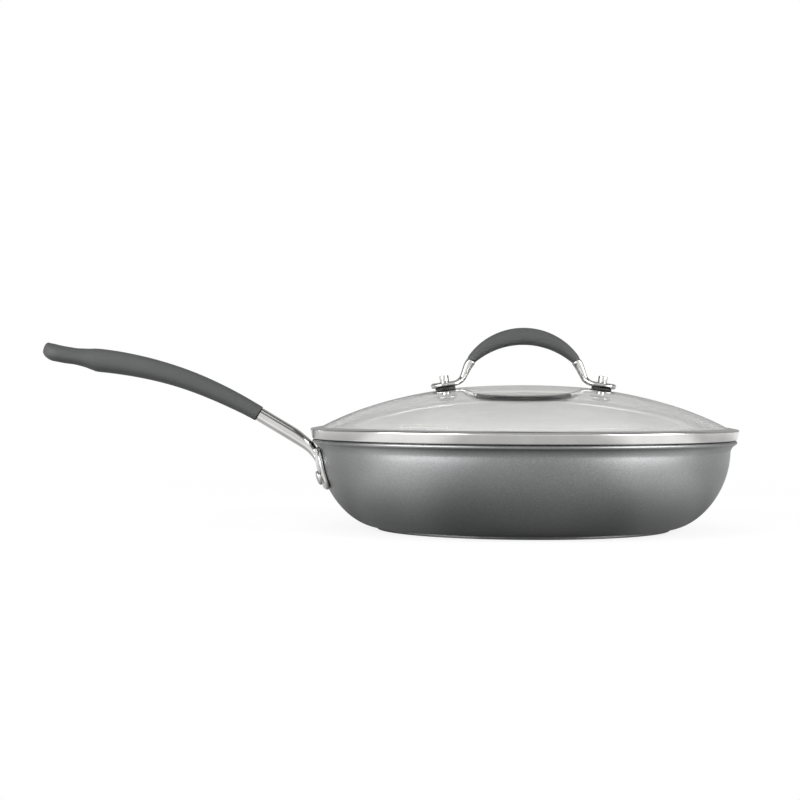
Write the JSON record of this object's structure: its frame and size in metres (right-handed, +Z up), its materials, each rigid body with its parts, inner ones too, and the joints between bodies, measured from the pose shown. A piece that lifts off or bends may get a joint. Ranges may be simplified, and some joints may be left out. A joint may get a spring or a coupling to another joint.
{
  "type": "covered skillet",
  "caption": "Round dark grey skillet with a long riveted handle in a silicone grip, and a domed glass lid with a steel rim and an arched handle that lifts off.",
  "frame": {"origin": "middle of the flat underside of the pan's base", "axes": "+Z up along the axis of the pan and lid, -X along the long handle, XZ is the plane of symmetry"},
  "size_m": [0.5014, 0.308, 0.1451],
  "materials": {
    "anodised_aluminium": "dark grey hard-anodised, satin with a fine sparkle",
    "polished_steel": "satin polished",
    "grey_silicone": "matte",
    "black_silicone": "matte",
    "clear_glass": "clear, polished"
  },
  "bodies": {
    "pan": {"pan_body": "anodised_aluminium", "pan_handle_core": "polished_steel", "pan_handle_grip": "grey_silicone", "near_rivet": "polished_steel", "far_rivet": "polished_steel"},
    "lid": {"lid_glass": "clear_glass", "lid_rim_band": "polished_steel", "lid_rim_seal": "black_silicone", "lid_handle_bar": "polished_steel", "lid_handle_grip": "grey_silicone", "left_barrel_nut": "polished_steel", "left_upper_gasket": "black_silicone", "left_lower_gasket": "black_silicone", "left_washer": "polished_steel", "left_screw": "polished_steel", "right_barrel_nut": "polished_steel", "right_upper_gasket": "black_silicone", "right_lower_gasket": "black_silicone", "right_washer": "polished_steel", "right_screw": "polished_steel"}
  },
  "joints": [
    {"name": "lid_lift", "type": "slide", "parent": "pan", "child": "lid", "axis": [0, 0, 1], "range_m": [0, 0.12]}
  ]
}
